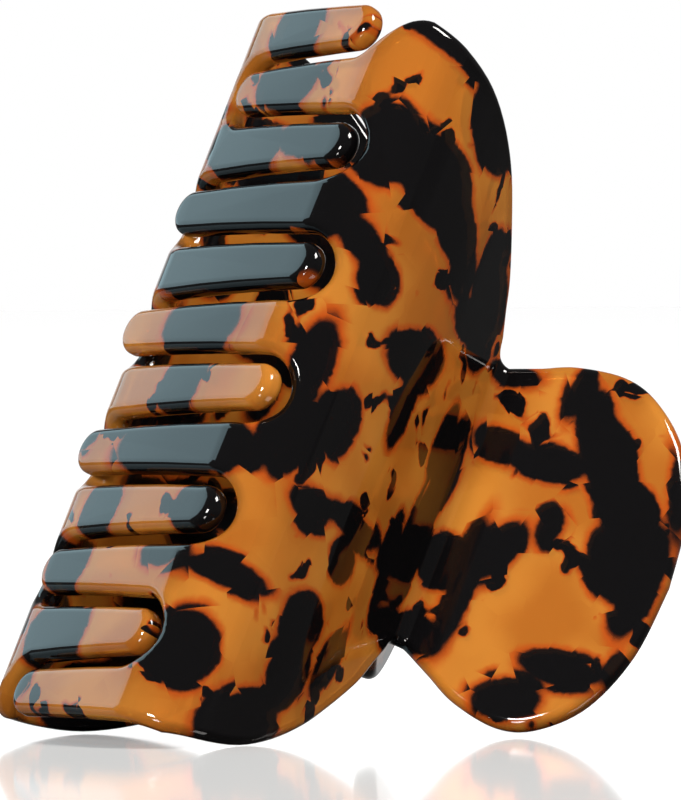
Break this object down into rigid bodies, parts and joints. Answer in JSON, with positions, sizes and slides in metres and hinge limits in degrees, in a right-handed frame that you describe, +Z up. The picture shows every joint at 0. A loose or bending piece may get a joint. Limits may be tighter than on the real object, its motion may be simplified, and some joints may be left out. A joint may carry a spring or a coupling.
{
  "type": "claw hair clip",
  "caption": "Large curved claw hair clip: two heat-bent acetate jaws with interleaved teeth on a sprung hinge, shut and standing on end.",
  "frame": {"origin": "centre of the bounding box at floor level, with the clip shut and standing on both jaw ends and one finger handle", "axes": "+Z up from the floor; the hinge pin leans in the XZ plane with its top towards +X; -Y side is the front half, whose handle touches the floor; teeth face -X, finger handles face +X"},
  "size_m": [0.0976, 0.0662, 0.1033],
  "materials": {
    "tortoiseshell_acetate": "polished, translucent amber sheet with near-black and orange-red patches",
    "hinge_acetate": "brown translucent blocks glued inside the halves",
    "spring_steel": "drawn wire and pin"
  },
  "bodies": {
    "front": {"front_half": "tortoiseshell_acetate", "front_outer_knuckle": "hinge_acetate", "front_inner_knuckle": "hinge_acetate", "front_spring_arm": "spring_steel", "hinge_pin": "spring_steel"},
    "back": {"back_half": "tortoiseshell_acetate", "back_outer_knuckle": "hinge_acetate", "back_inner_knuckle": "hinge_acetate", "back_spring_arm": "spring_steel"}
  },
  "joints": [
    {"name": "clip_hinge", "type": "hinge", "parent": "front", "child": "back", "pos_m": [0.01655, 0.00185, 0.03415], "axis": [-0.4441, 0, -0.896], "range_deg": [0, 70], "stiffness_Nm_per_rad": 0.2, "springref_deg": -45.84}
  ]
}
